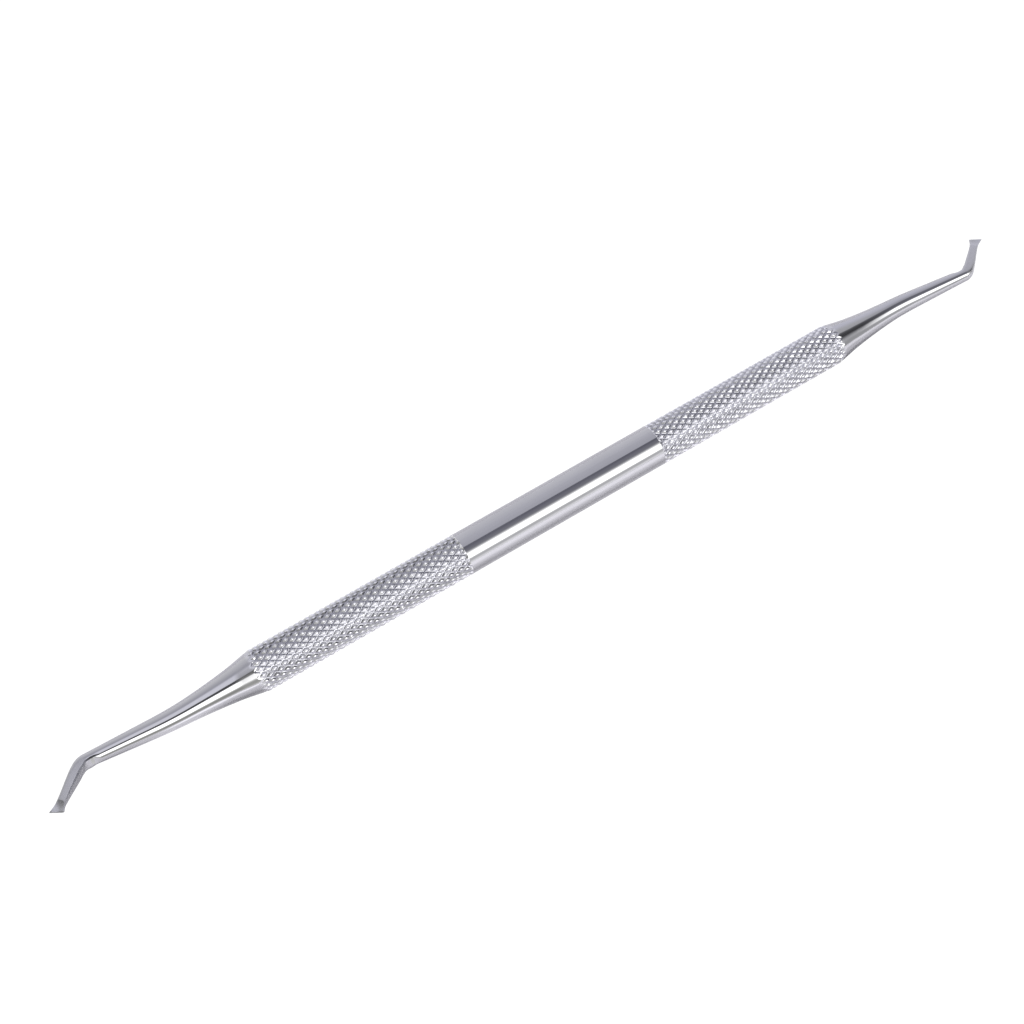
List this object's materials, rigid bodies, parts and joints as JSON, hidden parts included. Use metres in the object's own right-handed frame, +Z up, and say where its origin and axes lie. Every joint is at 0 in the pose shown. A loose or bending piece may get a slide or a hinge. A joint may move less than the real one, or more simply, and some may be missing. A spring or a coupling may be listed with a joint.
{
  "type": "double-ended cuticle pusher",
  "caption": "Stainless steel cuticle pusher: a round handle with two knurled grips and a polished middle, and a bent, flared pusher tip at each end.",
  "frame": {"origin": "under the middle of the handle, on the plane that the two grips rest on", "axes": "+X along the handle towards the right end, whose tip turns to +Y; the bends lie in a plane parallel to XY; +Z up, on the hollow-ground side of both blades"},
  "size_m": [0.156, 0.0078, 0.0061],
  "materials": {
    "knurled_steel": "diamond-knurled grips and a polished middle",
    "polished_steel": "polished taper and shank, finely ground tip"
  },
  "bodies": {
    "root": {"handle": "knurled_steel", "working_end_right": "polished_steel", "working_end_left": "polished_steel"}
  },
  "joints": []
}
